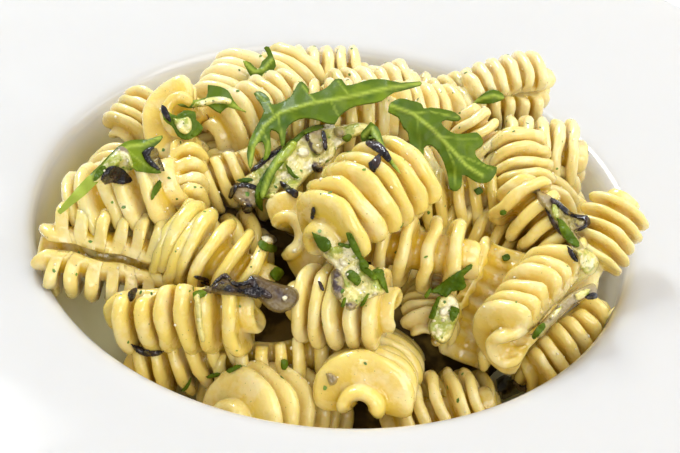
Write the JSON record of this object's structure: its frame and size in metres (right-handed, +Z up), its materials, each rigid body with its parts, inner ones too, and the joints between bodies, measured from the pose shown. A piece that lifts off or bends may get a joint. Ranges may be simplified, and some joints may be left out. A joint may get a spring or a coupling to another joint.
{
  "type": "plate of pesto radiatori",
  "caption": "Wide-rimmed white pasta plate with a deep well, heaped with ridged radiatori pasta tossed in creamy pesto with aubergine and rocket leaves.",
  "frame": {"origin": "on the supporting surface, under the middle of the plate", "axes": "+Z up; -Y points to the viewer of the picture and +X to the right"},
  "size_m": [0.31, 0.31, 0.0791],
  "materials": {
    "porcelain": "white glazed porcelain, smooth and glossy",
    "pasta": "cooked durum pasta, pale yellow, wet with oil and cream",
    "rocket": "fresh green leaf with pale midrib, satin",
    "aubergine": "fried aubergine, dark glossy skin and soft brown flesh",
    "pesto": "creamy green pesto with crumbs of cheese and herbs, oily"
  },
  "bodies": {
    "root": {"plate": "porcelain", "radiatori_heap": "pasta", "pesto_clump_middle": "pesto", "pesto_clump_front": "pesto", "pesto_clump_right": "pesto", "aubergine_front": "aubergine", "aubergine_left": "aubergine", "aubergine_right": "aubergine", "aubergine_right_low": "aubergine", "aubergine_middle": "aubergine", "aubergine_middle_left": "aubergine", "rocket_leaf_long": "rocket", "rocket_leaf_broad": "rocket", "leaf_left": "rocket", "leaf_on_scroll": "rocket", "leaf_pale": "rocket", "leaf_back": "rocket", "leaf_top": "rocket", "leaf_back_right": "rocket", "leaf_middle_stem": "rocket"}
  },
  "joints": []
}
